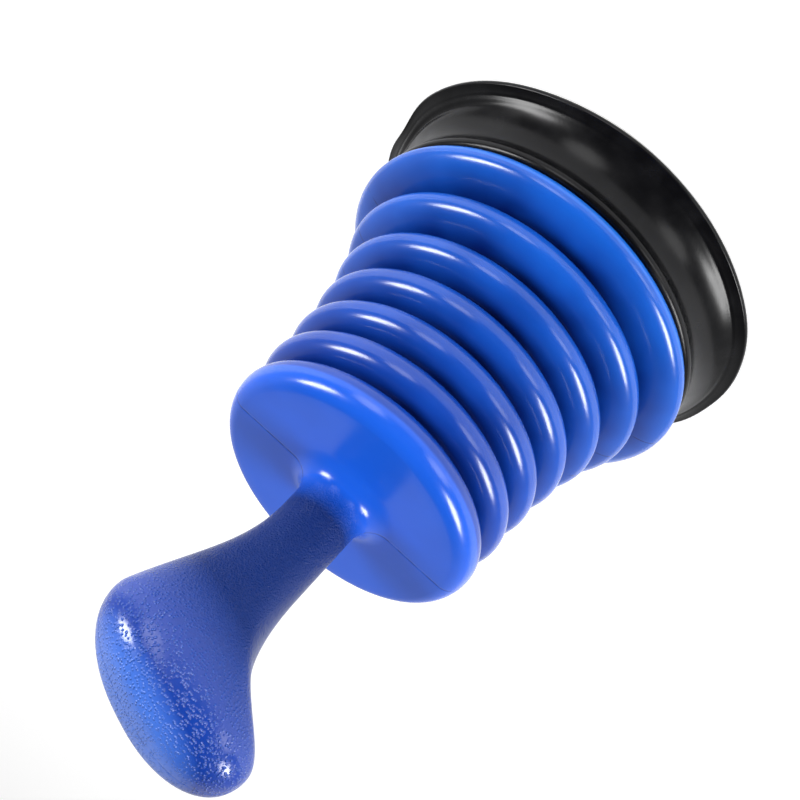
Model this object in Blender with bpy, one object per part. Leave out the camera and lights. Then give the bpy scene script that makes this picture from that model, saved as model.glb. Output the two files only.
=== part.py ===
"""Accordion sink plunger: a blow-moulded bellows with a T-handle, and a rubber suction cup.

The blue body is one thin-walled hollow moulding. It is built here in the zones that move
against each other when the plunger is pushed: the handle with its flat shoulder, five
pleats, and the collar at the bottom. The black rubber cup is stretched over the collar.

Frame: metres, +Z up. The origin is the centre of the cup's lip, on the surface that the
plunger stands on. The handle's grip runs along X, with its higher arm at -X, and the
mould that shaped the body parted on the XZ plane.
"""

import math

import bmesh
import bpy

# ---------------------------------------------------------------- driving dimensions

# bellows
PLEATS = 5                    # whole pleats between the shoulder and the collar
PITCH = 0.0135                # from one crest to the next
COLLAR_Z = 0.0270             # height of the collar's widest ring
TOP_CREST_RADIUS = 0.0420     # outside radius of the shoulder's edge and the upper pleats
COLLAR_RADIUS = 0.0580        # outside radius of the collar
FLARE_POWER = 3.2             # how late the bellows opens out towards the collar
FOLD_DEPTH = 0.0078           # from a crest in to the valley below it
VALLEY_RADIUS = 0.0011        # roundness of a valley
BODY_WALL = 0.0020            # thickness of the blow-moulded wall
ZONE_GAP = 0.0003             # clearance between zones of the body that move apart

# collar
COLLAR_EDGE_RADIUS = 0.0042   # roundness of the collar's lower edge
COLLAR_NECK_INSET = 0.0080    # from the collar's widest ring in to the wall that the cup grips
COLLAR_NECK_DEPTH = 0.0062    # how far that wall goes down into the cup
FLANGE_REACH = 0.0016         # the wall's end turns out this far, so that the cup holds it
FLANGE_HEIGHT = 0.0020

# shoulder and handle
SHOULDER_RISE = 0.0064        # from the top crest up to the shoulder's flat face
SHOULDER_EDGE_WIDTH = 0.0050  # width of the round edge around the flat face
NECK_RADIUS = 0.0103
NECK_FILLET = 0.0075          # from the flat face into the neck
HIGH_TIP_X = -0.0312          # tip of the grip's overhanging arm
HIGH_TIP_RISE = 0.0861        # its height above the shoulder's flat face
LOW_TIP_X = 0.0270            # tip of the arm that slopes down into the neck
LOW_TIP_RISE = 0.0631         # its height above the same face
HIGH_FOOT_RISE = 0.0336       # where the neck starts to bend out into the high arm
LOW_FOOT_RISE = 0.0126        # where it starts to bend out into the low arm
HIGH_FOOT_REACH = 0.0465      # how far the high arm's underside keeps to the neck's line
LOW_FOOT_REACH = 0.0184
HIGH_TIP_REACH = 0.0166       # how far the high arm's tip keeps square to the grip
LOW_TIP_REACH = 0.0230
GRIP_HALF_DEPTH = 0.0170      # along Y
GRIP_CROWN = 0.0174           # from the line between the tips up to the top of the grip
GRIP_CROWN_POWER = 2.5        # roundness of the top, 2 is an ellipse
GRIP_SQUARENESS = 2.5         # roundness in plan, 2 is an ellipse
DEPTH_POWER = 1.4             # how late the neck thickens into the grip

# rubber cup
LIP_OVERHANG = 0.0060         # from the collar's widest ring out to the lip's edge
LIP_FLAT = 0.0022             # width of the flat ring that the lip rests on
LIP_ROUND = 0.0011            # roundness of the lip's outer edge
BEAD_INSET = 0.0012           # from the collar's widest ring in to the bead under it
BEAD_ROUND = 0.0020
WAIST_INSET = 0.0023          # from the bead in to the waist between the bead and the lip
WAIST_DROP = 0.0075           # from the cup's top edge down to its waist
CUP_WALL = 0.0024
CUP_LEDGE = 0.0024            # thickness of the ledge under the blue wall
FIT_GAP = 0.0003              # clearance between the rubber and the blue wall

# mesh resolution
BODY_SEGMENTS = 32
CUP_SEGMENTS = 40
CREST_STEPS = 3
VALLEY_STEPS = 2
FLARE_STEPS = 9
CUP_STEPS = 7
CROWN_STEPS = 6
CROWN_END = math.radians(82)   # where the crown stops, at a small flat

# ---------------------------------------------------------------- derived places

CREST_HALF = (PITCH - 2 * VALLEY_RADIUS) / 2        # a crest's half-width along the axis
TOP_CREST_Z = COLLAR_Z + (PLEATS + 1) * PITCH       # the shoulder's edge is the top crest
SHOULDER_Z = TOP_CREST_Z + SHOULDER_RISE
COLLAR_UNDERSIDE_Z = COLLAR_Z - COLLAR_EDGE_RADIUS
COLLAR_END_Z = COLLAR_UNDERSIDE_Z - COLLAR_NECK_DEPTH
COLLAR_NECK_RADIUS = COLLAR_RADIUS - COLLAR_NECK_INSET
FLANGE_RADIUS = COLLAR_NECK_RADIUS + FLANGE_REACH
FLANGE_TOP_Z = COLLAR_END_Z + FLANGE_HEIGHT
CUP_TOP_Z = COLLAR_UNDERSIDE_Z - FIT_GAP
BEAD_RADIUS = COLLAR_RADIUS - BEAD_INSET
WAIST_RADIUS = BEAD_RADIUS - WAIST_INSET
LIP_RADIUS = COLLAR_RADIUS + LIP_OVERHANG
GRIP_HIGH_END = (HIGH_TIP_X, SHOULDER_Z + HIGH_TIP_RISE)
GRIP_LOW_END = (LOW_TIP_X, SHOULDER_Z + LOW_TIP_RISE)


def crest_z(number):
    """Height of a crest: 0 is the shoulder's edge, PLEATS + 1 is the collar."""
    return TOP_CREST_Z - number * PITCH


def crest_radius(number):
    """Outside radius of a crest, following the bellows' flare."""
    share = number / (PLEATS + 1)
    return TOP_CREST_RADIUS + (COLLAR_RADIUS - TOP_CREST_RADIUS) * share ** FLARE_POWER


def valley_centre(number):
    """Centre of the small round at the foot of the valley just below a crest."""
    return (crest_radius(number) - FOLD_DEPTH + VALLEY_RADIUS, crest_z(number) - PITCH / 2)


# ---------------------------------------------------------------- sections of the wall

def arc(centre, radii, start, end, steps):
    """Points (radius, height) along an elliptical arc, with angles in degrees from +radius."""
    points = []
    for step in range(steps + 1):
        angle = math.radians(start + (end - start) * step / steps)
        across = centre[0] + radii[0] * math.cos(angle)
        height = centre[1] + radii[1] * math.sin(angle)
        points.append((across, height))
    return points


def valley_arc(number, inset, start, end):
    """Part of the valley below a crest, on the wall's face that lies inset from outside."""
    size = VALLEY_RADIUS + inset
    return arc(valley_centre(number), (size, size), start, end, VALLEY_STEPS)


def upper_half(number, inset):
    """From the valley above a crest, down to just above the crest's widest point."""
    points = valley_arc(number - 1, inset, 180, 270)
    points[0] = (points[0][0], points[0][1] - ZONE_GAP / 2)
    centre = (valley_centre(number - 1)[0], crest_z(number))
    reach = crest_radius(number) - centre[0]
    crest = arc(centre, (reach - inset, CREST_HALF - inset), 90, 0, CREST_STEPS)
    return points + crest[1:-1]


def lower_half(number, inset):
    """From a crest's widest point, down to the valley below it."""
    centre = (valley_centre(number)[0], crest_z(number))
    reach = crest_radius(number) - centre[0]
    crest = arc(centre, (reach - inset, CREST_HALF - inset), 0, -90, CREST_STEPS)
    points = valley_arc(number, inset, 90, 180)
    points[-1] = (points[-1][0], points[-1][1] + ZONE_GAP / 2)
    return crest + points[1:]


def pleat_profile(number):
    """Closed section of one pleat: down its outer face, then back up its inner face."""
    outer = upper_half(number, 0) + lower_half(number, 0)
    inner = upper_half(number, BODY_WALL) + lower_half(number, BODY_WALL)
    return outer + inner[::-1]


def collar_half(inset):
    """One face of the collar: out to its round edge, under it, and down into the cup.

    The outer face ends in the flange that the cup's groove holds.
    """
    edge = (COLLAR_RADIUS - COLLAR_EDGE_RADIUS, COLLAR_Z)
    size = COLLAR_EDGE_RADIUS - inset
    points = upper_half(PLEATS + 1, inset)
    points += arc(edge, (size, size), 0, -90, CREST_STEPS)
    points.append((COLLAR_NECK_RADIUS - inset, points[-1][1]))
    if inset == 0:
        points.append((COLLAR_NECK_RADIUS, FLANGE_TOP_Z))
        points.append((FLANGE_RADIUS, FLANGE_TOP_Z))
        points.append((FLANGE_RADIUS, COLLAR_END_Z))
    else:
        points.append((COLLAR_NECK_RADIUS - inset, COLLAR_END_Z))
    return points


def collar_profile():
    """Closed section of the collar."""
    return collar_half(0) + collar_half(BODY_WALL)[::-1]


def bezier(start, first, second, end, steps):
    """Points along a cubic curve in section, from start to end."""
    points = []
    for step in range(steps + 1):
        t = step / steps
        weights = ((1 - t) ** 3, 3 * t * (1 - t) ** 2, 3 * t ** 2 * (1 - t), t ** 3)
        corners = (start, first, second, end)
        across = sum(w * c[0] for w, c in zip(weights, corners))
        height = sum(w * c[1] for w, c in zip(weights, corners))
        points.append((across, height))
    return points


def cup_profile():
    """Closed section of the rubber cup: bead, waist, flared lip, hollow inside, and groove."""
    seat = COLLAR_NECK_RADIUS + FIT_GAP
    ledge_top = COLLAR_END_Z - FIT_GAP
    ledge_inner = COLLAR_NECK_RADIUS - BODY_WALL
    ledge_bottom = ledge_top - CUP_LEDGE
    bead = (BEAD_RADIUS - BEAD_ROUND, CUP_TOP_Z - BEAD_ROUND)
    lip = (LIP_RADIUS - LIP_ROUND, LIP_ROUND)
    inner_lip = (lip[0] - LIP_FLAT, 0.0)

    points = [(seat, CUP_TOP_Z)]
    points += arc(bead, (BEAD_ROUND, BEAD_ROUND), 90, -45, CREST_STEPS)
    bead_end = points[-1]
    lip_arc = arc(lip, (LIP_ROUND, LIP_ROUND), 45, -90, CREST_STEPS)
    waist = (WAIST_RADIUS - WAIST_INSET, CUP_TOP_Z - WAIST_DROP)
    foot = (WAIST_RADIUS + CUP_WALL, lip_arc[0][1] + CUP_WALL)
    points += bezier(bead_end, waist, foot, lip_arc[0], CUP_STEPS)[1:-1]
    points += lip_arc
    shoulder = (ledge_inner, ledge_bottom)
    inner_foot = (foot[0] - CUP_WALL, foot[1])
    inner_waist = (ledge_inner + CUP_WALL, ledge_bottom - CUP_WALL)
    points += bezier(inner_lip, inner_foot, inner_waist, shoulder, CUP_STEPS)
    groove = FLANGE_RADIUS + FIT_GAP
    groove_top = FLANGE_TOP_Z + FIT_GAP
    points += [(ledge_inner, ledge_top), (groove, ledge_top), (groove, groove_top)]
    points.append((seat, groove_top))
    return points


# ---------------------------------------------------------------- solids

def link(name, mesh, material):
    """Put a finished mesh in the scene as one named object, shaded smooth."""
    mesh.shade_smooth()
    mesh.set_sharp_from_angle(angle=math.radians(50))
    piece = bpy.data.objects.new(name, mesh)
    mesh.materials.append(material)
    bpy.context.collection.objects.link(piece)
    return piece


def ring_mesh(name, rings, closed_ends):
    """Join rings of points by quads: either into a tube with closed ends, or into a torus."""
    mesh = bpy.data.meshes.new(name)
    form = bmesh.new()
    rows = [[form.verts.new(point) for point in ring] for ring in rings]
    pairs = list(zip(rows, rows[1:]))
    if not closed_ends:
        pairs.append((rows[-1], rows[0]))
    for upper, lower in pairs:
        for i in range(len(upper)):
            j = (i + 1) % len(upper)
            corners = [upper[i], lower[i], lower[j], upper[j]]
            form.faces.new(corners)
    if closed_ends:
        form.faces.new(rows[0])
        form.faces.new(rows[-1][::-1])
    form.to_mesh(mesh)
    form.free()
    return mesh


def turned(name, profile, segments, material, place=0.0):
    """Revolve a closed section about the Z axis; place is the object's own height."""
    rings = []
    for across, height in profile:
        ring = []
        for segment in range(segments):
            angle = 2 * math.pi * segment / segments
            ring.append((across * math.cos(angle), across * math.sin(angle), height - place))
        rings.append(ring)
    piece = link(name, ring_mesh(name, rings, closed_ends=False), material)
    piece.location.z = place
    return piece


# ---------------------------------------------------------------- the handle's sections

def round_row(radius, height):
    """A round section: its edge points at -X and +X, its half-depth and its power."""
    return ((-radius, height), (radius, height), radius, 2.0)


def shoulder_rows(inset):
    """Round sections from the top valley, over the shoulder's edge and face, to the neck."""
    rows = [round_row(*point) for point in lower_half(0, inset)[::-1]]
    edge = (TOP_CREST_RADIUS - SHOULDER_EDGE_WIDTH, TOP_CREST_Z)
    edge_size = (SHOULDER_EDGE_WIDTH - inset, SHOULDER_RISE - inset)
    rows += [round_row(*point) for point in arc(edge, edge_size, 0, 90, CREST_STEPS)[1:]]
    fillet = (NECK_RADIUS + NECK_FILLET, SHOULDER_Z + NECK_FILLET)
    fillet_size = (NECK_FILLET + inset, NECK_FILLET + inset)
    rows += [round_row(*point) for point in arc(fillet, fillet_size, 270, 180, CREST_STEPS)]
    return rows


def moved(point, direction, distance):
    """A point shifted along a direction in the handle's XZ plane."""
    return tuple(p + d * distance for p, d in zip(point, direction))


def grip_rows(inset):
    """Sections that swing from the round neck to the slanted grip, then close over its top."""
    span = math.dist(GRIP_HIGH_END, GRIP_LOW_END)
    along = tuple((low - high) / span for high, low in zip(GRIP_HIGH_END, GRIP_LOW_END))
    up = (-along[1], along[0])
    axis = (0.0, 1.0)
    neck = NECK_RADIUS - inset
    high_foot = (-neck, SHOULDER_Z + HIGH_FOOT_RISE)
    low_foot = (neck, SHOULDER_Z + LOW_FOOT_RISE)
    high_tip = moved(GRIP_HIGH_END, along, inset)
    low_tip = moved(GRIP_LOW_END, along, -inset)
    high_side = bezier(high_foot, moved(high_foot, axis, HIGH_FOOT_REACH),
                       moved(high_tip, up, -HIGH_TIP_REACH), high_tip, FLARE_STEPS)
    low_side = bezier(low_foot, moved(low_foot, axis, LOW_FOOT_REACH),
                      moved(low_tip, up, -LOW_TIP_REACH), low_tip, FLARE_STEPS)

    rows = []
    half_depth = GRIP_HALF_DEPTH - inset
    for step, (high, low) in enumerate(zip(high_side, low_side)):
        share = (step / FLARE_STEPS) ** DEPTH_POWER
        depth = neck + (half_depth - neck) * share
        rows.append((high, low, depth, 2 + (GRIP_SQUARENESS - 2) * share))

    middle = tuple((high + low) / 2 for high, low in zip(high_tip, low_tip))
    reach = span / 2 - inset
    for step in range(1, CROWN_STEPS + 1):
        angle = CROWN_END * step / CROWN_STEPS
        share = math.cos(angle) ** (2 / GRIP_CROWN_POWER)
        centre = moved(middle, up, (GRIP_CROWN - inset) * math.sin(angle))
        rows.append((moved(centre, along, -reach * share), moved(centre, along, reach * share),
                     half_depth * share, GRIP_SQUARENESS))
    return rows


def superellipse_ring(row, segments):
    """Points of one section of the handle: an oval between its two edge points."""
    left, right, depth, power = row
    centre = [(a + b) / 2 for a, b in zip(left, right)]
    half = [(b - a) / 2 for a, b in zip(left, right)]
    ring = []
    for segment in range(segments):
        angle = 2 * math.pi * segment / segments
        cosine = math.cos(angle)
        sine = math.sin(angle)
        across = math.copysign(abs(cosine) ** (2 / power), cosine)
        deep = math.copysign(abs(sine) ** (2 / power), sine)
        ring.append((centre[0] + half[0] * across, depth * deep, centre[1] + half[1] * across))
    return ring


def handle(name, material):
    """The hollow handle: its skin inside and out, open below into the bellows."""
    outer = shoulder_rows(0) + grip_rows(0)
    inner = shoulder_rows(BODY_WALL) + grip_rows(BODY_WALL)
    rings = [superellipse_ring(row, BODY_SEGMENTS) for row in outer[::-1] + inner]
    return link(name, ring_mesh(name, rings, closed_ends=True), material)


# ---------------------------------------------------------------- materials

def plastic(name, colour, roughness):
    """A moulded material with one colour and no metal in it."""
    material = bpy.data.materials.new(name)
    material.use_nodes = True
    shader = material.node_tree.nodes["Principled BSDF"]
    shader.inputs["Base Color"].default_value = (*colour, 1.0)
    shader.inputs["Roughness"].default_value = roughness
    shader.inputs["Metallic"].default_value = 0.0
    return material


# ---------------------------------------------------------------- the plunger

def build():
    """Make every piece: the cup at the bottom, the bellows above it, and the handle."""
    for old in list(bpy.data.objects):
        bpy.data.objects.remove(old)
    blue = plastic("blue_polyethylene", (0.012, 0.090, 0.620), 0.22)
    grained = plastic("grained_blue_polyethylene", (0.010, 0.060, 0.430), 0.45)
    black = plastic("black_rubber", (0.012, 0.012, 0.013), 0.35)

    turned("suction_cup", cup_profile(), CUP_SEGMENTS, black)
    turned("base_collar", collar_profile(), BODY_SEGMENTS, blue)
    for number in range(1, PLEATS + 1):
        turned(f"pleat_{number}", pleat_profile(number), BODY_SEGMENTS, blue, crest_z(number))
    handle("t_handle", grained)


build()
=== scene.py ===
# %% [markdown]
# # An accordion sink plunger
#
# The real plunger has two pieces. The blue one is a single hollow blow-moulded body: grip, neck,
# flat shoulder, bellows and collar. The black one is a moulded rubber cup, stretched over the
# collar. This lesson loads the solids that were designed before, keeps them as a fixed frame,
# and gives them the fine surface of the real thing: round folds, a parting line, moulded grain
# and soft rubber. Every length is in metres and every place comes from the frame.

# %% Load the frame
import math

import bmesh
import bpy
from mathutils import Matrix, Vector


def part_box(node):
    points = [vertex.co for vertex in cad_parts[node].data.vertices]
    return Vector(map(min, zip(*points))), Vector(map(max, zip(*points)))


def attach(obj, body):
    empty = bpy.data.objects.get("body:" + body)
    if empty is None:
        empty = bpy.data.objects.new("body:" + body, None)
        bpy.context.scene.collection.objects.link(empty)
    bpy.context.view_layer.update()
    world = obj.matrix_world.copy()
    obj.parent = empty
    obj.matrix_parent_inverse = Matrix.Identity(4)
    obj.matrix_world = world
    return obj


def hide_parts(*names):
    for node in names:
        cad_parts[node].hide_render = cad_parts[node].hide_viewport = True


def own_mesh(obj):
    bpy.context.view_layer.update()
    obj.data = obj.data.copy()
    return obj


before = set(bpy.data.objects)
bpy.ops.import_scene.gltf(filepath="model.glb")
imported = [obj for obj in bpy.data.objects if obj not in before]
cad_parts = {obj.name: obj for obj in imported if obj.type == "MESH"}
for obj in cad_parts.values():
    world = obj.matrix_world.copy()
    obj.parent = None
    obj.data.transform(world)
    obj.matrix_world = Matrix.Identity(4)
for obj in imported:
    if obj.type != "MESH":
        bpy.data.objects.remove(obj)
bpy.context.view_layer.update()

MM = 0.001

# %% [markdown]
# ## The camera
#
# The plunger stands upright on its cup. A long lens looks down at it from the front, and is rolled
# over so that the grip points to the lower left. The plunger could be laid on its side instead,
# but then every height in this lesson would have to be turned with it.

# %% Camera
CAMERA_AIM = Vector((0.0065, 0.0, 0.0774))
CAMERA_DISTANCE = 0.688
CAMERA_AZIMUTH = -91.7        # degrees from +X, counter-clockwise
CAMERA_ELEVATION = 32.4
CAMERA_ROLL = -136.8


def direction(azimuth, elevation):
    """Unit vector that points from the object towards an azimuth and an elevation in degrees."""
    turn = math.radians(azimuth)
    rise = math.radians(elevation)
    return Vector((math.cos(rise) * math.cos(turn), math.cos(rise) * math.sin(turn), math.sin(rise)))


def link(name, data):
    """Put new data in the scene as an object."""
    made = bpy.data.objects.new(name, data)
    bpy.context.scene.collection.objects.link(made)
    return made


lens = bpy.data.cameras.new("camera")
lens.lens = 108
lens.sensor_width = 36
camera = link("camera", lens)
back = direction(CAMERA_AZIMUTH, CAMERA_ELEVATION)
camera.location = CAMERA_AIM + back * CAMERA_DISTANCE
level = back.to_track_quat("Z", "Y").to_matrix().to_4x4()
camera.rotation_euler = (level @ Matrix.Rotation(math.radians(CAMERA_ROLL), 4, "Z")).to_euler()
bpy.context.scene.camera = camera
print("camera stands", round(camera.location.z, 3), "m above the table")

# %% [markdown]
# ## Two helpers
#
# The colour of a plastic is easiest to note as an sRGB hex value, but shaders work in linear
# light, so one function converts it. Nodes could be placed by hand in the editor. In a script, one
# small function that makes a node, sets it up and links it keeps a material short to read.

# %% A helper for colours and one for nodes


def linear(hex_colour):
    """An sRGB hex colour as the linear RGBA that shaders work in."""
    channels = [int(hex_colour[i:i + 2], 16) / 255 for i in (1, 3, 5)]
    bent = [c / 12.92 if c <= 0.04045 else ((c + 0.055) / 1.055) ** 2.4 for c in channels]
    return (*bent, 1.0)


def add(tree, kind, inputs=None, **settings):
    """Add a node. Each input, by name or number, is given a value or is linked to a socket."""
    made = tree.nodes.new("ShaderNode" + kind)
    for name, value in settings.items():
        setattr(made, name, value)
    for name, value in (inputs or {}).items():
        if isinstance(value, bpy.types.NodeSocket):
            tree.links.new(value, made.inputs[name])
        else:
            made.inputs[name].default_value = value
    return made


def new_material(name):
    """An empty node material, with its tree and its Principled shader."""
    material = bpy.data.materials.new(name)
    material.use_nodes = True
    tree = material.node_tree
    return material, tree, tree.nodes["Principled BSDF"]


print("white is", linear("#ffffff"), "and mid grey is", [round(c, 3) for c in linear("#808080")])

# %% [markdown]
# ## The studio
#
# A product like this is shot on a bright table between two wide softboxes, so that each ring of
# the bellows carries two thin highlights. Area lights do that: their size is the size of the
# reflection in the glossy skin, where a point light would leave a dot. Two weak square boxes low
# beside the camera add a soft sheen. The room around is dim in front and overhead and pale
# behind, and the table is a sheet of white acrylic that glows a little, which keeps the ground
# pale without pouring light over the object.

# %% Softboxes
# Azimuth, elevation, width, height, power. The first two are the wide boxes at the sides, the
# next two are the weak square ones beside the camera.
SOFTBOXES = {
    "softbox_right": (-17, 28, 0.56, 0.26, 11),
    "softbox_left": (-167, 27, 0.56, 0.26, 11),
    "softbox_front_right": (-62, 6, 0.44, 0.44, 2.2),
    "softbox_front_left": (-129, 3, 0.44, 0.44, 2.2),
}
SOFTBOX_DISTANCE = 1.0
LIGHT_AIM = Vector((0, 0, 0.08))

for name, (azimuth, elevation, width, height, watts) in SOFTBOXES.items():
    light = bpy.data.lights.new(name, "AREA")
    light.shape = "ELLIPSE"
    light.size = width
    light.size_y = height
    light.energy = watts
    softbox = link(name, light)
    softbox.location = LIGHT_AIM + direction(azimuth, elevation) * SOFTBOX_DISTANCE
    softbox.rotation_euler = direction(azimuth, elevation).to_track_quat("Z", "Y").to_euler()

print(len(SOFTBOXES), "softboxes,", sum(box[-1] for box in SOFTBOXES.values()), "W in all")

# %% Sky
FRONT_SKY = 0.12              # the dark room on the near side, which leaves the faces deep in colour
BACK_SKY = 0.70               # the white wall behind, which the flat shoulder mirrors
WALL_SPAN = (-0.5, 0.7)       # from front to back, where the dark fades into the pale
CEILING_SPAN = (0.50, 0.80)   # from the horizon up, where the sky darkens overhead
CEILING_DIM = 0.15

sky = bpy.data.worlds.new("studio_ceiling")
bpy.context.scene.world = sky
sky.use_nodes = True
ray = add(sky.node_tree, "TexCoord")
heading = add(sky.node_tree, "SeparateXYZ", {"Vector": ray.outputs["Generated"]})
wall = add(sky.node_tree, "MapRange", {"Value": heading.outputs["Y"],
                                       "From Min": WALL_SPAN[0], "From Max": WALL_SPAN[1],
                                       "To Min": FRONT_SKY, "To Max": BACK_SKY})
overhead = add(sky.node_tree, "MapRange", {"Value": heading.outputs["Z"],
                                           "From Min": CEILING_SPAN[0],
                                           "From Max": CEILING_SPAN[1],
                                           "To Min": 1.0, "To Max": CEILING_DIM})
strength = add(sky.node_tree, "Math", {0: wall.outputs[0], 1: overhead.outputs[0]},
               operation="MULTIPLY")
ceiling = sky.node_tree.nodes["Background"]
ceiling.inputs["Color"].default_value = linear("#ffffff")
sky.node_tree.links.new(strength.outputs[0], ceiling.inputs["Strength"])

print("sky from", FRONT_SKY, "in front to", BACK_SKY, "behind")

# %% Table
# Opal acrylic, cast and lit from below: an even pale ground with only a faint shadow.
TABLE_HALF = 3.0
TABLE_GLOW = 0.40
table_mesh = bpy.data.meshes.new("table")
corners = [(-TABLE_HALF, -TABLE_HALF, 0), (TABLE_HALF, -TABLE_HALF, 0),
           (TABLE_HALF, TABLE_HALF, 0), (-TABLE_HALF, TABLE_HALF, 0)]
table_mesh.from_pydata(corners, [], [(0, 1, 2, 3)])
table = link("table", table_mesh)
acrylic, tree, shader = new_material("glowing_white_acrylic")
shader.inputs["Base Color"].default_value = linear("#eeeeee")
shader.inputs["Roughness"].default_value = 0.6
shader.inputs["Emission Color"].default_value = linear("#ffffff")
shader.inputs["Emission Strength"].default_value = TABLE_GLOW
table_mesh.materials.append(acrylic)
# Colours are shown as they are, without the film curve that would wash out a strong blue.
bpy.context.scene.view_settings.view_transform = "Standard"
print("the table is", 2 * TABLE_HALF, "m wide and glows with strength", TABLE_GLOW)

# %% [markdown]
# ## The rings of the bellows
#
# A blow-moulded bellows is a hot tube of plastic, blown outwards against a ribbed mould. Its
# section is a chain of fat round crests and narrow valleys, and each crest is a little wider than
# the one above it. It could be a Screw modifier on a drawn curve, but here the section is worked
# out ring by ring from the solids' own boxes, so that it lands exactly where the solids are.
# Each point also remembers how far the plastic was stretched there, from 0 in a valley to 1 on
# the flat shoulder, because stretched plastic is thinner and looks lighter. The same share also
# paints shade deep in the valleys and light on the flat shoulder.

# %% Where the crests are
FOLD_DEPTH = 7.8 * MM         # from a crest in to the valley below it
FOLD_STRETCH_AND_SHADE = 0.5            # a crest gets half the shoulder's share: less stretch, and painted light on the shoulder
VALLEY_RADIUS = 1.1 * MM
WALL = 2.0 * MM
ZONE_GAP = 0.3 * MM           # clearance that the solids keep where the body flexes

pleats = sorted((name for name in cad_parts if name.startswith("pleat_")))
middles = [(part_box(name)[0].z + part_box(name)[1].z) / 2 for name in pleats]
pitch = (middles[0] - middles[-1]) / (len(pleats) - 1)
crests = [(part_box("t_handle")[1].x, middles[0] + pitch)]
crests += [(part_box(name)[1].x, middle) for name, middle in zip(pleats, middles)]
crests.append((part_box("base_collar")[1].x, middles[-1] - pitch))
COLLAR = len(crests) - 1
print("crests, mm:", [(round(r / MM, 1), round(z / MM, 1)) for r, z in crests])

# %% Curves in section


def arc(centre, radii, start, end, steps):
    """Points (radius, height) along an elliptical arc, with angles in degrees from +radius."""
    points = []
    for step in range(steps + 1):
        angle = math.radians(start + (end - start) * step / steps)
        points.append((centre[0] + radii[0] * math.cos(angle), centre[1] + radii[1] * math.sin(angle)))
    return points


def bezier(start, first, second, end, places):
    """Points of a cubic curve at the given places, which run from 0 to 1."""
    points = []
    for t in places:
        weights = ((1 - t) ** 3, 3 * t * (1 - t) ** 2, 3 * t ** 2 * (1 - t), t ** 3)
        corners = (start, first, second, end)
        points.append(tuple(sum(w * c[i] for w, c in zip(weights, corners)) for i in range(2)))
    return points


def evenly(steps):
    """Places from 0 to 1."""
    return [step / steps for step in range(steps + 1)]


# %% One fold, from valley to crest and back
CREST_HALF = pitch / 2 - VALLEY_RADIUS
OUTSIDE_STEPS = (11, 5)       # around half a crest and a quarter of a valley
INSIDE_STEPS = (6, 3)


def valley_centre(number):
    """Centre of the small round at the foot of the valley just below a crest."""
    radius, height = crests[number]
    return (radius - FOLD_DEPTH + VALLEY_RADIUS, height - pitch / 2)


def fold_points(points, crest, valley):
    """Give each point the share that its plastic was stretched, 0 in the valley, where it also paints
    shade.
    """
    low = valley[0] - VALLEY_RADIUS
    reach = crest[0] - low
    return [(r, z, FOLD_STRETCH_AND_SHADE * min(1.0, max(0.0, (r - low) / reach))) for r, z in points]


def upper_half(number, inset, steps):
    """From the valley above a crest, down to the crest's widest ring."""
    crest = crests[number]
    valley = valley_centre(number - 1)
    size = VALLEY_RADIUS + inset
    points = arc(valley, (size, size), 180, 270, steps[1])
    radii = (crest[0] - valley[0] - inset, CREST_HALF - inset)
    points += arc((valley[0], crest[1]), radii, 90, 0, steps[0])[1:]
    return fold_points(points, crest, valley)


def lower_half(number, inset, steps):
    """From a crest's widest ring, down to the valley below it."""
    crest = crests[number]
    valley = valley_centre(number)
    size = VALLEY_RADIUS + inset
    radii = (crest[0] - valley[0] - inset, CREST_HALF - inset)
    points = arc((valley[0], crest[1]), radii, 0, -90, steps[0])
    points += arc(valley, (size, size), 90, 180, steps[1])[1:]
    return fold_points(points, crest, valley)


print("one fold has", len(upper_half(1, 0, OUTSIDE_STEPS)) * 2, "rings outside")

# %% All the folds, one below the other


def raised(point, height):
    """The same point, higher."""
    return (point[0], point[1] + height, point[2])


def bellows_face(inset, steps):
    """One face of the whole bellows, from the top valley down to the bottom one."""
    points = []
    for number in range(1, COLLAR):
        points += upper_half(number, inset, steps)[(1 if points else 0):]
        points += lower_half(number, inset, steps)[1:]
    points[0] = raised(points[0], -ZONE_GAP / 2)
    points[-1] = raised(points[-1], ZONE_GAP / 2)
    return points


print("the bellows has", len(bellows_face(0, OUTSIDE_STEPS)), "rings outside")

# %% [markdown]
# ## From sections to meshes
#
# The blue body came out of a mould in two halves that met on the plane y = 0, and a fine line is
# left there. To give that line real edges, every ring has extra columns just beside the plane,
# and the middle one is sunk a little along the surface. All blue pieces share the same columns,
# so the line runs on from one piece to the next.

# %% Section rings
QUARTER_COLUMNS = 42
GROOVE_SIDES = (0.28 * MM, 0.75 * MM)   # columns beside the parting plane
GROOVE_DEPTH = 0.08 * MM
NARROW = 6.0 * MM             # a section less deep than this squeezes those columns


def section_ring(left, right, depth, power):
    """Points of a superellipse section between two edge points, each given as (x, z)."""
    squeeze = min(1.0, depth / NARROW)
    places = [0.0] + [side * squeeze for side in GROOVE_SIDES]
    start = places[-1]
    for step in range(1, QUARTER_COLUMNS + 1):
        angle = math.pi / 2 * step / QUARTER_COLUMNS
        places.append(start + (depth - start) * math.sin(angle) ** (2 / power))
    shares = [max(0.0, 1 - (y / depth) ** power) ** (1 / power) for y in places]
    quadrant = list(zip(shares, places))
    flat = list(quadrant)
    flat += [(-s, y) for s, y in reversed(quadrant[:-1])]
    flat += [(-s, -y) for s, y in quadrant[1:]]
    flat += [(s, -y) for s, y in reversed(quadrant[1:-1])]
    middle = [(a + b) / 2 for a, b in zip(left, right)]
    half = [(b - a) / 2 for a, b in zip(left, right)]
    return [(middle[0] + half[0] * s, y, middle[1] + half[1] * s) for s, y in flat]


COLUMNS = 4 * (QUARTER_COLUMNS + len(GROOVE_SIDES))


def round_ring(radius, height):
    """A round section about the Z axis."""
    return section_ring((-radius, height), (radius, height), radius, 2)


print(COLUMNS, "columns around each blue piece")

# %% Join rings into a mesh


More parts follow.
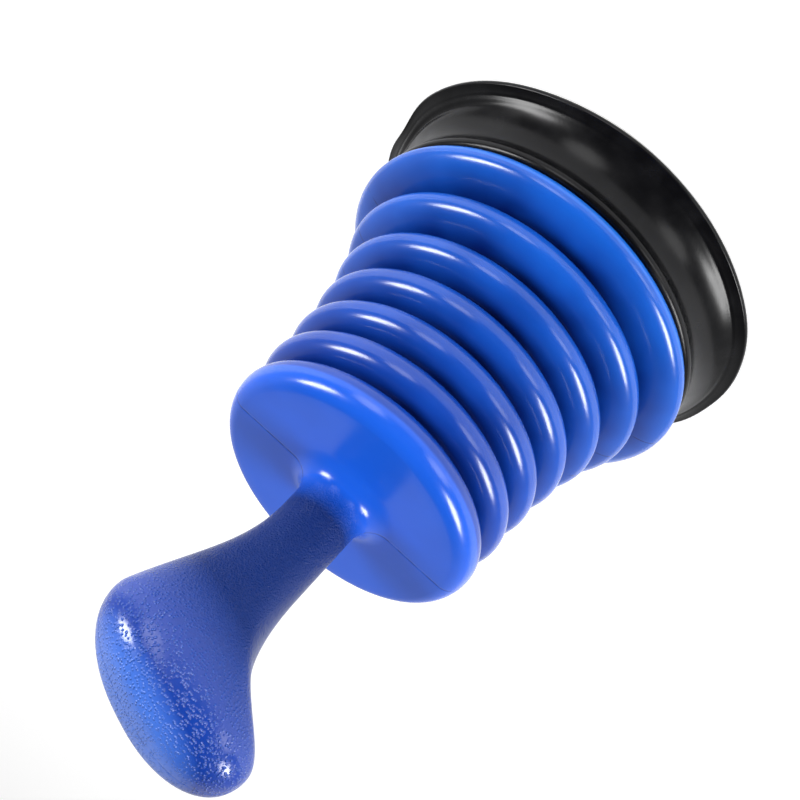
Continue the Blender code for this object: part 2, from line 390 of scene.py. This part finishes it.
def mesh_of_rings(name, rings, stretch_and_shade, tips=None):
    """Join rings by quads, either round into a torus or with a closing point at each end."""
    mesh = bpy.data.meshes.new(name)
    form = bmesh.new()
    share = form.verts.layers.float.new("stretch_and_shade")
    rows = []
    for ring, amount in zip(rings, stretch_and_shade):
        row = [form.verts.new(point) for point in ring]
        for vert in row:
            vert[share] = amount
        rows.append(row)
    pairs = list(zip(rows, rows[1:]))
    if not tips:
        pairs.append((rows[-1], rows[0]))
    for upper, lower in pairs:
        for i in range(len(upper)):
            j = (i + 1) % len(upper)
            form.faces.new((upper[i], lower[i], lower[j], upper[j]))
    if tips:
        for row, tip, facing in ((rows[0], tips[0], 1), (rows[-1], tips[1], -1)):
            point = form.verts.new(tip)
            point[share] = 1.0
            for i in range(len(row)):
                form.faces.new((row[i], row[(i + 1) % len(row)], point)[::facing])
    for face in form.faces:
        face.smooth = True
    form.to_mesh(mesh)
    form.free()
    return mesh


# %% Sink the parting line
BELLOWS_GROOVE = GROOVE_DEPTH / 3   # the bellows' mould closes tighter, so its line is finer


def sink_parting_line(mesh, rows, columns, depth):
    """Move the two middle columns of the first rows in along the surface, as a fine groove."""
    normals = [vertex.normal.copy() for vertex in mesh.vertices]
    for row in range(rows):
        for column in (0, columns // 2):
            index = row * columns + column
            mesh.vertices[index].co -= normals[index] * depth
    mesh.update()


print("the groove is", round(GROOVE_DEPTH / MM, 3), "mm deep")

# %% [markdown]
# ## Blue polyethylene
#
# The body is low-density polyethylene, the waxy plastic of squeeze bottles, with a strong blue
# pigment. Blown against a polished mould it comes out glossy, but never optically flat: the skin
# undulates softly and bends the edges of the highlights. It lets a little light in, so the folds
# are not hard and opaque. Where it was stretched over a crest it is thinner and looks lighter;
# down in a valley it is thick and deep in colour. The colour also carries painted shade, darker
# deep in the valleys, and painted light, lighter on the flat shoulder that faces up. The lowest
# rings are drawn a little more azure. The index of refraction of polyethylene is about 1.51.

# %% Colours of the blue
# Painted light and shade: the valley blue is partly painted shade, the crest and shoulder blue partly
# painted light.
THIN_AND_LIT_BLUE = "#1855c8"
THICK_AND_SHADED_BLUE = "#061f68"
AZURE = "#1766cc"
# The parting line's blue is painted shade: the dark of its fine groove.
LINE_SHADE_BLUE = "#04163f"
AZURE_FROM_Z = 0.100          # the colour drifts from here down to the collar
AZURE_TO_Z = 0.030
CLOUD = 24 * MM               # the pigment drifts a little over about this length
CLOUD_DRIFT = 0.10
THINNING_AND_SHADE = 1.2                # how late the colour lightens out to a crest: thinner plastic, and painted shade in the valley
LINE_CORE = 0.10 * MM         # half-width of the parting line, and where it has faded out
LINE_EDGE = 0.34 * MM
LINE_GAP_SIZE = 3.5 * MM          # the painted line breaks off here and there, over about this length
POLYETHYLENE_IOR = 1.51
POLYETHYLENE_GLOSS = 0.42     # a little under a clean polished face, which would be 0.5


def blue_base(tree):
    """Places, axes, colour (deep in folds with painted shade, light on crests), parting line shade
    mask.
    """
    stretch_and_shade = add(tree, "Attribute", attribute_name="stretch_and_shade")
    place = add(tree, "TexCoord")
    cloud = add(tree, "TexNoise", {"Vector": place.outputs["Object"], "Scale": 1 / CLOUD,
                                   "Detail": 2.0})
    drift = add(tree, "MapRange", {"Value": cloud.outputs["Fac"], "From Min": 0.3, "From Max": 0.7,
                                   "To Min": -CLOUD_DRIFT, "To Max": CLOUD_DRIFT})
    curve = add(tree, "Math", {0: stretch_and_shade.outputs["Fac"], 1: THINNING_AND_SHADE}, operation="POWER")
    share = add(tree, "Math", {0: curve.outputs[0], 1: drift.outputs[0]}, operation="ADD",
                use_clamp=True)
    # Valleys to crests: thinner plastic is lighter, plus painted shade in valleys and painted light on
    # the shoulder.
    base_tone = add(tree, "Mix", {"Factor": share.outputs[0], 6: linear(THICK_AND_SHADED_BLUE),
                                   7: linear(THIN_AND_LIT_BLUE)}, data_type="RGBA")
    axes = add(tree, "SeparateXYZ", {"Vector": place.outputs["Object"]})
    # The crests are drawn a little more azure towards the collar.
    towards_collar = add(tree, "MapRange", {"Value": axes.outputs["Z"], "From Min": AZURE_FROM_Z,
                                   "From Max": AZURE_TO_Z, "To Max": 1.0})
    azure_share = add(tree, "Math", {0: towards_collar.outputs[0], 1: share.outputs[0]}, operation="MULTIPLY")
    azure = add(tree, "Mix", {"Factor": azure_share.outputs[0], 6: base_tone.outputs[2], 7: linear(AZURE)},
                data_type="RGBA")
    # The parting line's mask: painted shade of the groove, broken by noise.
    beside = add(tree, "Math", {0: axes.outputs["Y"]}, operation="ABSOLUTE")
    line = add(tree, "MapRange", {"Value": beside.outputs[0], "From Min": LINE_CORE,
                                  "From Max": LINE_EDGE, "To Min": 1.0, "To Max": 0.0})
    broken = add(tree, "TexNoise", {"Vector": place.outputs["Object"], "Scale": 1 / LINE_GAP_SIZE,
                                    "Detail": 1.0})
    gaps = add(tree, "MapRange", {"Value": broken.outputs["Fac"], "From Min": 0.36,
                                  "From Max": 0.50})
    line_shade = add(tree, "Math", {0: line.outputs[0], 1: gaps.outputs[0]}, operation="MULTIPLY")
    return place, axes, azure.outputs[2], line_shade.outputs[0]


# %% Draw the parting line's painted shade


def paint_line_shade(tree, colour, line_shade, strength, line_colour):
    """The colour with the parting line's painted shade drawn over it."""
    share = add(tree, "Math", {0: line_shade, 1: strength}, operation="MULTIPLY")
    drawn = add(tree, "Mix", {"Factor": share.outputs[0], 6: colour, 7: linear(line_colour)},
                data_type="RGBA")
    return drawn.outputs[2]


print("crest", THIN_AND_LIT_BLUE, "valley", THICK_AND_SHADED_BLUE, "towards the collar", AZURE)

# %% Undulations of the skin
WAVE = 15 * MM                # distance between the soft undulations of the skin
WAVE_HEIGHT = 0.05 * MM


def soft_waves(tree, place):
    """Bump of a blown skin that cooled against the mould."""
    noise = add(tree, "TexNoise", {"Vector": place.outputs["Object"], "Scale": 1 / WAVE,
                                   "Detail": 1.0})
    return add(tree, "Bump", {"Height": noise.outputs["Fac"], "Strength": 1.0,
                              "Distance": WAVE_HEIGHT})


print("the skin undulates every", round(WAVE / MM), "mm")

# %% Glossy blow-moulded skin
# Low-density polyethylene, blown against a polished mould: the eye gets crisp, softly bent
# highlights over a deep and slightly waxy blue.
HANDLING = 2.6 * MM           # size of the faint dull patches that handling leaves
SHOULDER_LINE_SHADE = 0.6           # how strongly the parting line's painted shade shows on the glossy skin

glossy_blue, tree, shader = new_material("glossy_blow_moulded_polyethylene")
place, _, colour, line_shade = blue_base(tree)
colour = paint_line_shade(tree, colour, line_shade, SHOULDER_LINE_SHADE, LINE_SHADE_BLUE)
patches = add(tree, "TexNoise", {"Vector": place.outputs["Object"], "Scale": 1 / HANDLING,
                                 "Detail": 3.0})
dullness = add(tree, "MapRange", {"Value": patches.outputs["Fac"], "From Min": 0.3,
                                  "From Max": 0.7, "To Min": 0.18, "To Max": 0.23})
tree.links.new(colour, shader.inputs["Base Color"])
tree.links.new(dullness.outputs[0], shader.inputs["Roughness"])
tree.links.new(soft_waves(tree, place).outputs["Normal"], shader.inputs["Normal"])
shader.inputs["IOR"].default_value = POLYETHYLENE_IOR
shader.inputs["Specular IOR Level"].default_value = POLYETHYLENE_GLOSS
shader.inputs["Subsurface Weight"].default_value = 0.08
shader.inputs["Subsurface Radius"].default_value = (0.2, 0.5, 1.0)
shader.inputs["Subsurface Scale"].default_value = 1.5 * MM
print("glossy blue has", len(tree.nodes), "nodes")

# %% [markdown]
# ## The grained grip
#
# The mould is etched where the hand goes, from the top of the fillet upwards, so that a wet hand
# does not slip. The etching is fine on the neck and coarser on the grip, where it leaves small
# raised beads. Each bead catches the light by itself, so a highlight falls apart into sparkles.
# The beads could be modelled one by one, but there are thousands of them and the real ones are
# only about a tenth of a millimetre high, so a bump does it. The fine etching of the neck swallows
# the shine. The neck is painted darker as painted shade, the crown of the grip paler as painted
# light and sheen from above, and the bead tops paler, partly wear and partly painted sparkle.

# %% Sizes of the stipple
NECK_GRAIN = 0.55 * MM        # the real grain is finer, and this is as fine as it still shows
GRIP_BEAD = 1.00 * MM         # distance between the beads
BEAD_HEIGHT = 0.30 * MM       # the real ones are lower, and this is as low as still shows
BEAD_SPAN = (0.10, 0.50)      # top and foot of a bead, in shares of that distance
NECK_RELIEF = 0.8             # the neck's grain against the beads' height
GRAIN_FADE = 9 * MM           # the grain fades in over this height
NECK_GLOSS = 0.16             # the fine etching traps most of the shine
GRIP_GLOSS = 0.48             # the tops of the beads are rubbed bright by the hand
GRIP_UP = direction(0, 68.4)  # square to the slanted grip
GRIP_START = 0.156            # along that direction, where the beads start to take over
GRIP_FULL = 0.176
CROWN_LIGHT_START = 0.184           # where the painted light of the upper face starts
CROWN_LIGHT_FULL = 0.190
# The neck's darker blue is painted shade, the crown's pale blue painted light, the bead blue partly
# wear, partly painted sparkle.
NECK_SHADE_BLUE = "#04123e"
GRIP_BLUE = "#0a2c82"
CROWN_LIGHT_BLUE = "#4a7ade"
BEAD_WEAR_AND_SPARKLE_BLUE = "#3a6cd0"
# The grip's line blue is painted shade of the groove.
GRIP_LINE_SHADE_BLUE = "#0a46a6"
NECK_SHADE = 0.85             # how far the etched zone takes the neck's painted shade and the grip's blue
CROWN_LIGHT_SHARE = 0.85
BEAD_WEAR_AND_SPARKLE_SHARE = 0.35
GRIP_LINE_SHADE = 0.8               # how strongly the parting line's painted shade shows on the grip
NECK_FOOT_Z = 0.1180          # inside the fillet, where the etching begins
print("beads every", round(GRIP_BEAD / MM, 2), "mm, grain every", round(NECK_GRAIN / MM, 2), "mm")

# %% Relief of the stipple
# Polyethylene moulded against etched steel: dull on the neck and painted darker there as shade,
# and on the grip a highlight that breaks up into sparkling beads.
grained_blue, tree, shader = new_material("stippled_moulded_polyethylene")
place, axes, colour, line_shade = blue_base(tree)
fine = add(tree, "TexNoise", {"Vector": place.outputs["Object"], "Scale": 1 / NECK_GRAIN,
                              "Detail": 2.0})
cells = add(tree, "TexVoronoi", {"Vector": place.outputs["Object"], "Scale": 1 / GRIP_BEAD,
                                 "Randomness": 0.7})
bead = add(tree, "MapRange", {"Value": cells.outputs["Distance"], "From Min": BEAD_SPAN[0],
                              "From Max": BEAD_SPAN[1], "To Min": 1.0, "To Max": 0.0},
           interpolation_type="SMOOTHSTEP")
level = add(tree, "VectorMath", {0: place.outputs["Object"], 1: GRIP_UP},
            operation="DOT_PRODUCT")
on_grip = add(tree, "MapRange", {"Value": level.outputs["Value"], "From Min": GRIP_START,
                                 "From Max": GRIP_FULL})
crown_light = add(tree, "MapRange", {"Value": level.outputs["Value"], "From Min": CROWN_LIGHT_START,
                               "From Max": CROWN_LIGHT_FULL, "To Max": CROWN_LIGHT_SHARE})
sharp = add(tree, "MapRange", {"Value": fine.outputs["Fac"], "From Min": 0.3, "From Max": 0.7,
                               "To Max": NECK_RELIEF})
height = add(tree, "Mix", {0: on_grip.outputs[0], 2: sharp.outputs[0], 3: bead.outputs[0]},
             data_type="FLOAT")
etched = add(tree, "MapRange", {"Value": axes.outputs["Z"], "From Min": NECK_FOOT_Z,
                                "From Max": NECK_FOOT_Z + GRAIN_FADE})
relief = add(tree, "Math", {0: height.outputs[0], 1: etched.outputs[0]}, operation="MULTIPLY")
bump = add(tree, "Bump", {"Height": relief.outputs[0], "Strength": 0.9, "Distance": BEAD_HEIGHT,
                          "Normal": soft_waves(tree, place).outputs["Normal"]})
print("the stipple's relief has", len(tree.nodes), "nodes")

# %% Colour and gloss of the stipple
dimmed = add(tree, "Math", {0: etched.outputs[0], 1: NECK_SHADE}, operation="MULTIPLY")
# The neck's darker blue is painted shade; up on the grip it takes the grip's blue.
higher = add(tree, "Mix", {"Factor": on_grip.outputs[0], 6: linear(NECK_SHADE_BLUE),
                           7: linear(GRIP_BLUE)}, data_type="RGBA")
dark = add(tree, "Mix", {"Factor": dimmed.outputs[0], 6: colour, 7: higher.outputs[2]},
           data_type="RGBA")
# The crown of the grip is painted paler: painted light and sheen from above.
topped = add(tree, "Mix", {"Factor": crown_light.outputs[0], 6: dark.outputs[2],
                           7: linear(CROWN_LIGHT_BLUE)}, data_type="RGBA")
# The bead tops are painted paler: partly wear, partly painted sparkle.
pale = add(tree, "Math", {0: relief.outputs[0], 1: on_grip.outputs[0]}, operation="MULTIPLY")
tipped = add(tree, "Math", {0: pale.outputs[0], 1: BEAD_WEAR_AND_SPARKLE_SHARE}, operation="MULTIPLY")
worn_and_sparkled = add(tree, "Mix", {"Factor": tipped.outputs[0], 6: topped.outputs[2],
                         7: linear(BEAD_WEAR_AND_SPARKLE_BLUE)}, data_type="RGBA")
lined = paint_line_shade(tree, worn_and_sparkled.outputs[2], line_shade, GRIP_LINE_SHADE, GRIP_LINE_SHADE_BLUE)
dullness = add(tree, "MapRange", {"Value": etched.outputs[0], "To Min": 0.17, "To Max": 0.22})
tree.links.new(lined, shader.inputs["Base Color"])
tree.links.new(dullness.outputs[0], shader.inputs["Roughness"])
tree.links.new(bump.outputs["Normal"], shader.inputs["Normal"])
shader.inputs["IOR"].default_value = POLYETHYLENE_IOR
gloss = add(tree, "MapRange", {"Value": level.outputs["Value"], "From Min": GRIP_START,
                               "From Max": GRIP_FULL, "To Min": NECK_GLOSS,
                               "To Max": GRIP_GLOSS})
tree.links.new(gloss.outputs[0], shader.inputs["Specular IOR Level"])
print("grained blue has", len(tree.nodes), "nodes")

# %% [markdown]
# ## The handle
#
# Grip, neck and shoulder are one hollow form. It starts in the top valley, rolls over the
# shoulder's round edge, crosses the flat face, climbs a fillet into the neck, and then leans: one
# arm of the grip overhangs on the high side, the other slopes straight down into the neck. A loft
# fits that best: a stack of oval sections whose two edge points follow two curves in the parting
# plane, closed at the top by a crown that shrinks like a superellipse.

# %% Sizes of the handle
SHOULDER_RISE = 6.4 * MM      # from the top crest up to the flat face
SHOULDER_EDGE = 5.0 * MM      # width of the round edge
NECK_RADIUS = 10.3 * MM
NECK_FILLET = 7.5 * MM
HIGH_TIP = (-31.2 * MM, 86.1 * MM)   # tips of the two arms: x, and rise above the flat face
LOW_TIP = (27.0 * MM, 63.1 * MM)
HIGH_FOOT = 33.6 * MM         # rises at which the neck starts to bend out into each arm
LOW_FOOT = 12.6 * MM
FOOT_REACH = (46.5 * MM, 18.4 * MM)  # how far each side keeps to the neck's line
TIP_REACH = (16.6 * MM, 23.0 * MM)   # how far each tip keeps square to the grip
GRIP_HALF_DEPTH = 17.0 * MM
GRIP_CROWN = 16.4 * MM
SQUARENESS = 2.5              # roundness of the grip in plan and of its crown, 2 is an ellipse
CROWN_FLATNESS = 3.8          # the same across the grip, where the palm rests on a flatter face
DEPTH_POWER = 1.4             # how late the neck thickens into the grip
CROWN_END = 88.0              # degrees, where the crown is closed by a point

shoulder_z = crests[0][1] + SHOULDER_RISE
high_end = Vector((HIGH_TIP[0], shoulder_z + HIGH_TIP[1]))
low_end = Vector((LOW_TIP[0], shoulder_z + LOW_TIP[1]))
along = (low_end - high_end).normalized()
upward = Vector((-along.y, along.x))
print("the grip leans", round(math.degrees(math.atan2(-along.y, along.x)), 1), "degrees")

# %% Sections of the shoulder


def shoulder_rows(inset, steps):
    """Round sections from the top valley to the top of the fillet, as (radius, height, stretch)."""
    rows = lower_half(0, inset, steps)[::-1]
    rows[0] = raised(rows[0], ZONE_GAP / 2)
    radius, height = crests[0]
    edge = (radius - SHOULDER_EDGE, height)
    over = arc(edge, (SHOULDER_EDGE - inset, SHOULDER_RISE - inset), 0, 90, steps[0])[1:]
    fillet_size = NECK_FILLET + inset
    fillet = arc((NECK_RADIUS + NECK_FILLET, shoulder_z + NECK_FILLET), (fillet_size, fillet_size),
                 270, 180, steps[0])
    flat = [(edge[0] + (fillet[0][0] - edge[0]) * t, shoulder_z - inset)
            for t in evenly(steps[1] + 1)[1:-1]]
    return rows + [(r, z, 1.0) for r, z in over + flat + fillet]


print("the shoulder's flat face is", round(shoulder_z / MM, 1), "mm up")

# %% Sections of the neck and the grip


def grip_rows(inset, side_steps, crown_steps):
    """Oval sections from the neck's foot to the top: left point, right point, depth, power."""
    neck = NECK_RADIUS - inset
    high_foot = Vector((-neck, shoulder_z + HIGH_FOOT))
    low_foot = Vector((neck, shoulder_z + LOW_FOOT))
    high_tip = high_end + along * inset
    low_tip = low_end - along * inset
    plumb = Vector((0.0, 1.0))
    high = bezier(high_foot, high_foot + plumb * FOOT_REACH[0],
                  high_tip - upward * TIP_REACH[0], high_tip, evenly(side_steps))
    low = bezier(low_foot, low_foot + plumb * FOOT_REACH[1],
                 low_tip - upward * TIP_REACH[1], low_tip, evenly(side_steps))
    rows = []
    half_depth = GRIP_HALF_DEPTH - inset
    for place, left, right in zip(evenly(side_steps), high, low):
        share = place ** DEPTH_POWER
        rows.append((left, right, neck + (half_depth - neck) * share,
                     2 + (SQUARENESS - 2) * share))
    centre = (high_tip + low_tip) / 2
    reach = (low_tip - high_tip).length / 2
    for place in evenly(crown_steps)[1:]:
        angle = math.radians(CROWN_END * place)
        share = math.cos(angle) ** (2 / SQUARENESS)
        middle = centre + upward * ((GRIP_CROWN - inset) * math.sin(angle))
        rows.append((middle - along * (reach * share), middle + along * (reach * share),
                     half_depth * math.cos(angle) ** (2 / CROWN_FLATNESS), SQUARENESS))
    tip = centre + upward * (GRIP_CROWN - inset)
    return rows, (tip.x, 0.0, tip.y)


print("the neck is", round(2 * NECK_RADIUS / MM, 1), "mm thick")

# %% Loft the handle
GRIP_OUTSIDE_STEPS = (40, 22)   # up the sides, and over the crown
GRIP_INSIDE_STEPS = (14, 8)
outside = shoulder_rows(0, OUTSIDE_STEPS)
grip_outside, tip_outside = grip_rows(0, *GRIP_OUTSIDE_STEPS)
inside = shoulder_rows(WALL, INSIDE_STEPS)
grip_inside, tip_inside = grip_rows(WALL, *GRIP_INSIDE_STEPS)
outer = [round_ring(r, z) for r, z, _ in outside] + [section_ring(*row) for row in grip_outside]
inner = [round_ring(r, z) for r, z, _ in inside] + [section_ring(*row) for row in grip_inside]
stretch_and_shade = [s for _, _, s in outside] + [1.0] * len(grip_outside)
stretch_and_shade_in = [s for _, _, s in inside] + [1.0] * len(grip_inside)
mesh = mesh_of_rings("handle_skin", outer[::-1] + inner, stretch_and_shade[::-1] + stretch_and_shade_in,
                     (tip_outside, tip_inside))
sink_parting_line(mesh, len(outer), COLUMNS, GROOVE_DEPTH)
handle = link("handle_skin", mesh)
mesh.materials.append(glossy_blue)
mesh.materials.append(grained_blue)
for face in mesh.polygons:
    face.material_index = int(face.center.z > NECK_FOOT_Z)
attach(handle, "handle")
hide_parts("t_handle")
print("handle:", len(mesh.polygons), "faces, top at", round(tip_outside[2] / MM, 1), "mm")

# %% [markdown]
# ## The bellows
#
# When the handle is pushed down, every fold closes by about the same share, because the same
# plastic gives way all over. Five rigid rings could slide towards each other, but the skin
# between them would tear. Here the bellows is turned as one skin, fixed to the cup's body, and
# its folds are not closed.

# %% Turn the bellows
outside = bellows_face(0, OUTSIDE_STEPS)
inside = bellows_face(WALL, INSIDE_STEPS)
section = outside + inside[::-1]
mesh = mesh_of_rings("bellows_skin", [round_ring(r, z) for r, z, _ in section],
                     [s for _, _, s in section])
sink_parting_line(mesh, len(outside), COLUMNS, BELLOWS_GROOVE)
bellows = link("bellows_skin", mesh)
mesh.materials.append(glossy_blue)
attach(bellows, "cup")
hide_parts(*pleats)
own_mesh(bellows)

# %% [markdown]
# ## The collar
#
# The lowest crest is the collar: wider and taller than a pleat, because the mould left it thick
# for the rubber to grip. Under its round edge a short wall with a small flange goes down into the
# cup. It stays still when the bellows closes, so it is a piece of its own on the cup's body.

# %% Section of the collar
COLLAR_EDGE = 4.2 * MM
COLLAR_NECK_INSET = 8.0 * MM
FLANGE_REACH = 1.6 * MM
FLANGE_HEIGHT = 2.0 * MM
HIDDEN_ROWS = 4               # rings of the collar's foot, inside the cup, that have no line
SHARP_EDGE = math.radians(60)
collar_radius, collar_z = crests[COLLAR]
collar_end_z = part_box("base_collar")[0].z
neck_radius = collar_radius - COLLAR_NECK_INSET


def collar_face(inset, steps):
    """One face of the collar: out to its edge, under it, and down into the cup."""
    size = COLLAR_EDGE - inset
    points = upper_half(COLLAR, inset, steps)
    points[0] = raised(points[0], -ZONE_GAP / 2)
    edge = arc((collar_radius - COLLAR_EDGE, collar_z), (size, size), 0, -90, steps[0])[1:]
    edge.append((neck_radius - inset, edge[-1][1]))
    if inset == 0:
        edge.append((neck_radius, collar_end_z + FLANGE_HEIGHT))
        edge.append((neck_radius + FLANGE_REACH, collar_end_z + FLANGE_HEIGHT))
        edge.append((neck_radius + FLANGE_REACH, collar_end_z))
    else:
        edge.append((neck_radius - inset, collar_end_z))
    return points + [(r, z, 1.0) for r, z in edge]


print("the collar's foot ends", round(collar_end_z / MM, 1), "mm up")

# %% Turn the collar
outside = collar_face(0, OUTSIDE_STEPS)
section = outside + collar_face(WALL, INSIDE_STEPS)[::-1]
mesh = mesh_of_rings("collar_skin", [round_ring(r, z) for r, z, _ in section],
                     [s for _, _, s in section])
sink_parting_line(mesh, len(outside) - HIDDEN_ROWS, COLUMNS, BELLOWS_GROOVE)
mesh.set_sharp_from_angle(angle=SHARP_EDGE)
collar = link("collar_skin", mesh)
mesh.materials.append(glossy_blue)
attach(collar, "cup")
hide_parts("base_collar")
print("collar:", len(mesh.polygons), "faces, widest at", round(collar_radius / MM, 1), "mm")

# %% [markdown]
# ## Black rubber
#
# The cup is moulded rubber, filled with soot, which makes it nearly black. It is softer in its
# gloss than the polyethylene: a broad grey sheen with a bright streak only where the form turns
# sharply, on the bead and near the lip. Talc from the mould and handling leave it faintly
# blotchy. Its index of refraction is about 1.52.

# %% Moulded black rubber
# Soot-filled rubber from a fine-blasted mould: nearly black, with a broad soft sheen.
RUBBER_BLACK = "#08080a"
TALC_GREY = "#161618"
RUBBER_IOR = 1.52
RUBBER_GLOSS = 0.17           # talc scatters much of the shine, which would be 0.5 on a clean face
TALC_PATCH = 9 * MM           # size of the cloudy patches that the talc leaves
GRAIN_HEIGHT = 0.03 * MM
RUBBER_GRAIN = 0.7 * MM       # the real skin is finer, and this is as fine as it still shows

black_rubber, tree, shader = new_material("moulded_black_rubber")
place = add(tree, "TexCoord")
talc = add(tree, "TexNoise", {"Vector": place.outputs["Object"], "Scale": 1 / TALC_PATCH,
                              "Detail": 4.0})
dusty = add(tree, "MapRange", {"Value": talc.outputs["Fac"], "From Min": 0.45, "From Max": 0.75,
                               "To Max": 0.6})
base_tone = add(tree, "Mix", {"Factor": dusty.outputs[0], 6: linear(RUBBER_BLACK),
                            7: linear(TALC_GREY)}, data_type="RGBA")
dullness = add(tree, "MapRange", {"Value": talc.outputs["Fac"], "From Min": 0.3, "From Max": 0.7,
                                  "To Min": 0.20, "To Max": 0.28})
skin = add(tree, "TexNoise", {"Vector": place.outputs["Object"], "Scale": 1 / RUBBER_GRAIN,
                              "Detail": 2.0})
bump = add(tree, "Bump", {"Height": skin.outputs["Fac"], "Strength": 0.25,
                          "Distance": GRAIN_HEIGHT})
tree.links.new(base_tone.outputs[2], shader.inputs["Base Color"])
tree.links.new(dullness.outputs[0], shader.inputs["Roughness"])
tree.links.new(bump.outputs["Normal"], shader.inputs["Normal"])
shader.inputs["IOR"].default_value = RUBBER_IOR
shader.inputs["Specular IOR Level"].default_value = RUBBER_GLOSS
print("rubber has", len(tree.nodes), "nodes")

# %% [markdown]
# ## The cup
#
# The cup is a skirt: a bead under the collar, a narrow waist, and a flare that ends in a thin
# lip, with one fine moulded line beside it. It is a solid of revolution, so its closed section is
# drawn first, with arcs where it is round and one cubic curve for the flare.

# %% Sizes of the cup
FIT_GAP = 0.3 * MM
BEAD_INSET = 1.2 * MM
BEAD_ROUND = 2.0 * MM
WAIST_INSET = 2.3 * MM
WAIST_DROP = 7.5 * MM
CUP_WALL = 2.4 * MM
CUP_LEDGE = 2.4 * MM
LIP_FLAT = 2.2 * MM
LIP_ROUND = 1.1 * MM
FLARE_STEPS = 40
FLARE_BIAS = 1.7              # packs the rings towards the lip, where the fine line is
LINE_INSET = 3.4 * MM         # from the lip's edge in to the fine moulded line
LINE_WIDTH = 0.35 * MM
LINE_DEPTH = 0.22 * MM
BEAD_STEPS = 12
LIP_STEPS = 8
HOLLOW_STEPS = 20

lip_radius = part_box("suction_cup")[1].x
cup_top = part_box("suction_cup")[1].z
seat = neck_radius + FIT_GAP
bead_radius = collar_radius - BEAD_INSET
waist_radius = bead_radius - WAIST_INSET
print("the cup is", round(cup_top / MM, 1), "mm tall")

# %% Section of the cup


def cup_section():
    """Closed section (bead, flare, lip, hollow, ledge, groove), and how many points are outside."""
    bead = arc((bead_radius - BEAD_ROUND, cup_top - BEAD_ROUND), (BEAD_ROUND, BEAD_ROUND),
               90, -45, BEAD_STEPS)
    lip_centre = (lip_radius - LIP_ROUND, LIP_ROUND)
    lip = arc(lip_centre, (LIP_ROUND, LIP_ROUND), 45, -90, LIP_STEPS)
    waist = (waist_radius - WAIST_INSET, cup_top - WAIST_DROP)
    foot = (waist_radius + CUP_WALL, lip[0][1] + CUP_WALL)
    places = [1 - (1 - t) ** FLARE_BIAS for t in evenly(FLARE_STEPS)]
    flare = bezier(bead[-1], waist, foot, lip[0], places)[1:-1]
    lined = []
    for r, z in flare:
        dip = LINE_DEPTH * math.exp(-((r - lip_radius + LINE_INSET) / LINE_WIDTH) ** 2)
        lined.append((r, z - dip))
    ledge_top = collar_end_z - FIT_GAP
    ledge = (neck_radius - WALL, ledge_top - CUP_LEDGE)
    inner_lip = (lip_centre[0] - LIP_FLAT, 0.0)
    hollow = bezier(inner_lip, (foot[0] - CUP_WALL, foot[1]),
                    (ledge[0] + CUP_WALL, ledge[1] - CUP_WALL), ledge, evenly(HOLLOW_STEPS))
    groove = neck_radius + FLANGE_REACH + FIT_GAP
    groove_top = collar_end_z + FLANGE_HEIGHT + FIT_GAP
    seating = [(ledge[0], ledge_top), (groove, ledge_top), (groove, groove_top), (seat, groove_top)]
    outer = [(seat, cup_top)] + bead + lined + lip
    return outer + hollow + seating, len(outer)


cup_points, outer_count = cup_section()
print("the cup's section has", len(cup_points), "points")

# %% [markdown]
# ## The waves of the lip
#
# Rubber this thin never stays perfectly round: the lip has one soft crease and a few shallow
# waves, and the flare is pinched a little beside the crease. A noise would make it wavy all round,
# so each wave is listed one by one, and the rings are pushed about more and more towards the lip.

# %% Waves of the lip
# Azimuth in degrees, half-width in degrees, how far out in mm, how far up in mm.
LIP_WAVES = {
    "crease": (2, 9, -1.7, 1.6),
    "beside_crease": (22, 9, 0.5, 0.0),
    "front_bulge": (212, 12, 0.5, 0.2),
    "front_dip": (175, 10, -0.6, 0.5),
    "back_dip": (95, 22, -0.5, 0.4),
    "right_dip": (300, 20, -0.4, 0.3),
}
CUP_COLUMNS = 240
# A pinch in the middle of the flare: azimuth, half-width in degrees, width and depth.
PINCH = (350, 24, 0.8 * MM, 0.7 * MM)
pinch_radius = waist_radius + 0.45 * (lip_radius - waist_radius)


def lip_push(azimuth):
    """How far the lip moves out and up at an azimuth, in metres."""
    out = 0.0
    up = 0.0
    for middle, width, most_out, most_up in LIP_WAVES.values():
        away = (azimuth - middle + 180) % 360 - 180
        share = math.exp(-(away / width) ** 2)
        out += most_out * share * MM
        up += most_up * share * MM
    return out, up


# %% Push the rings about


def cup_ring(radius, height, outer):
    """One ring of the cup, pushed about by its share of the way from the waist to the lip."""
    share = max(0.0, (radius - waist_radius) / (lip_radius - waist_radius))
    share = share ** 2 if height < cup_top - WAIST_DROP else 0.0
    pinched = outer * math.exp(-((radius - pinch_radius) / PINCH[2]) ** 2)
    ring = []
    for column in range(CUP_COLUMNS):
        angle = 2 * math.pi * column / CUP_COLUMNS
        out, up = lip_push(math.degrees(angle))
        away = (math.degrees(angle) - PINCH[0] + 180) % 360 - 180
        dip = PINCH[3] * pinched * math.exp(-(away / PINCH[1]) ** 2)
        reach = radius + out * share - dip
        ring.append((reach * math.cos(angle), reach * math.sin(angle), height + up * share - dip))
    return ring


rings = [cup_ring(r, z, i < outer_count) for i, (r, z) in enumerate(cup_points)]
mesh = mesh_of_rings("rubber_cup", rings, [1.0] * len(rings))
mesh.set_sharp_from_angle(angle=SHARP_EDGE)
cup = link("rubber_cup", mesh)
mesh.materials.append(black_rubber)
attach(cup, "cup")
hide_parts("suction_cup")
print("cup:", len(mesh.polygons), "faces, lip", round(2 * lip_radius / MM, 1), "mm across")
